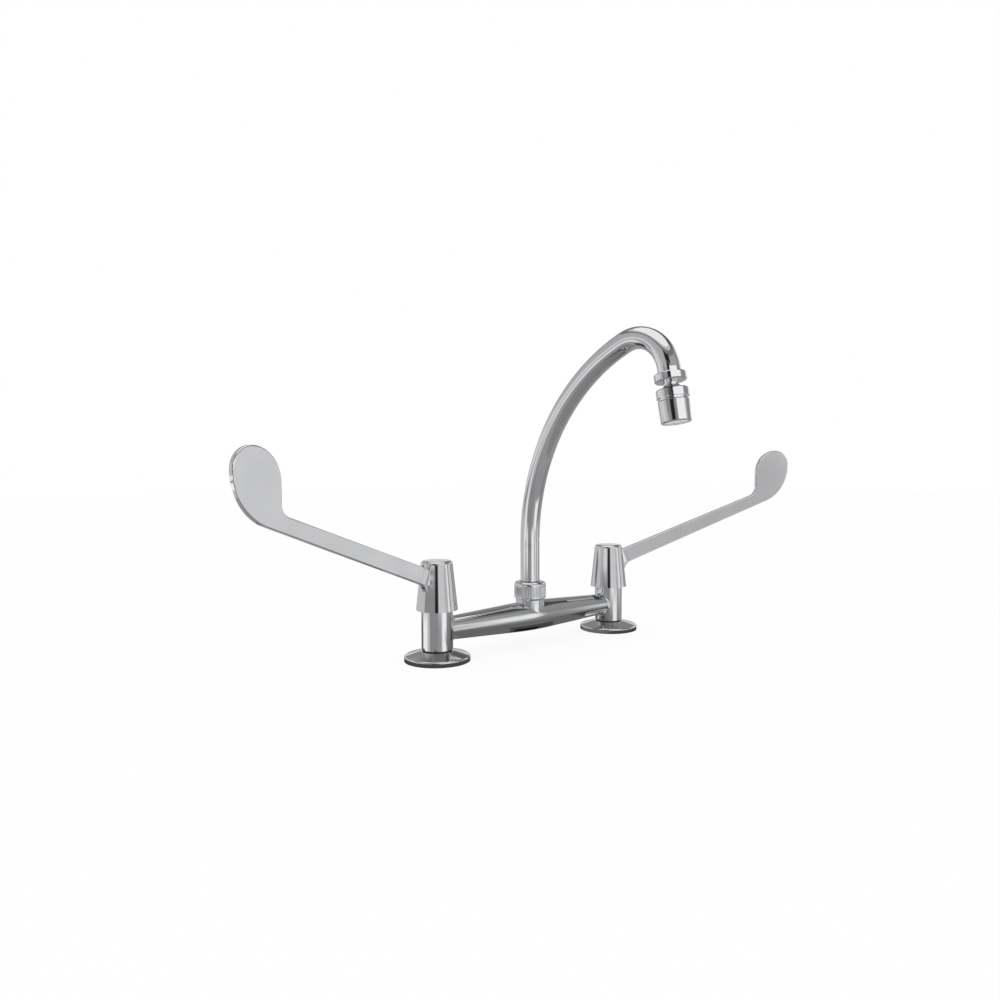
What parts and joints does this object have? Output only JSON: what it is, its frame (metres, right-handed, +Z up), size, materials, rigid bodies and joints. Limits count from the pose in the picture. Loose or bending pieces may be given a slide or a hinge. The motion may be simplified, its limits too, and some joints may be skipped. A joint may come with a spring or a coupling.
{
  "type": "elbow lever bridge mixer tap",
  "caption": "Deck-mounted bridge mixer tap with long elbow levers, an arched swivel spout and a ball-jointed aerator.",
  "frame": {"origin": "on the deck plane, midway between the axes of the two posts", "axes": "+X along the bridge to the right-hand post, -Y towards the user and along the spout, +Z up"},
  "size_m": [0.5866, 0.2031, 0.3268],
  "materials": {
    "chrome": "polished chrome plate on brass",
    "brass": "turned brass",
    "steel": "plain stainless steel",
    "rubber": "matte black",
    "ceramic": "lapped white",
    "plastic": "moulded acetal"
  },
  "bodies": {
    "mixer": {"bridge_body": "chrome", "left_flange": "chrome", "right_flange": "chrome", "left_deck_gasket": "rubber", "right_deck_gasket": "rubber", "left_post_seal": "rubber", "right_post_seal": "rubber", "left_tail_shank": "brass", "right_tail_shank": "brass", "rubber_washers": "rubber", "steel_washers": "steel", "locknuts": "brass", "left_seat_seal": "rubber", "right_seat_seal": "rubber", "left_headwork": "brass", "right_headwork": "brass", "left_fixed_disc": "ceramic", "right_fixed_disc": "ceramic", "spout_nut": "chrome"},
    "left_handle": {"left_lever": "chrome", "left_spindle": "brass", "left_moving_disc": "ceramic", "left_lever_screw": "steel", "left_lever_cap": "chrome"},
    "right_handle": {"right_lever": "chrome", "right_spindle": "brass", "right_moving_disc": "ceramic", "right_lever_screw": "steel", "right_lever_cap": "chrome"},
    "spout": {"spout_tube": "chrome", "spout_tail": "brass", "spout_orings": "rubber", "slip_ring": "plastic", "outlet_ferrule": "brass", "outlet_washer": "rubber", "collar_nut": "chrome"},
    "ball": {"ball_stem": "chrome"},
    "aerator": {"aerator_ring": "chrome", "ball_seat": "plastic", "aerator_housing": "chrome", "aerator_insert": "plastic"}
  },
  "joints": [
    {"name": "left_lever_turn", "type": "hinge", "parent": "mixer", "child": "left_handle", "pos_m": [-0.1, 0, 0], "axis": [0, 0, 1], "range_deg": [-20, 70]},
    {"name": "right_lever_turn", "type": "hinge", "parent": "mixer", "child": "right_handle", "pos_m": [0.1, 0, 0], "axis": [0, 0, 1], "range_deg": [-70, 20]},
    {"name": "spout_swivel", "type": "hinge", "parent": "mixer", "child": "spout", "pos_m": [0, 0, 0], "axis": [0, 0, 1], "continuous": true},
    {"name": "ball_spin", "type": "hinge", "parent": "spout", "child": "ball", "pos_m": [0, -0.1613, 0.21124], "axis": [0, -0.1908, -0.9816], "continuous": true},
    {"name": "aerator_tilt", "type": "hinge", "parent": "ball", "child": "aerator", "pos_m": [0, -0.1613, 0.21124], "axis": [1, 0, 0], "range_deg": [-18, 16]}
  ]
}
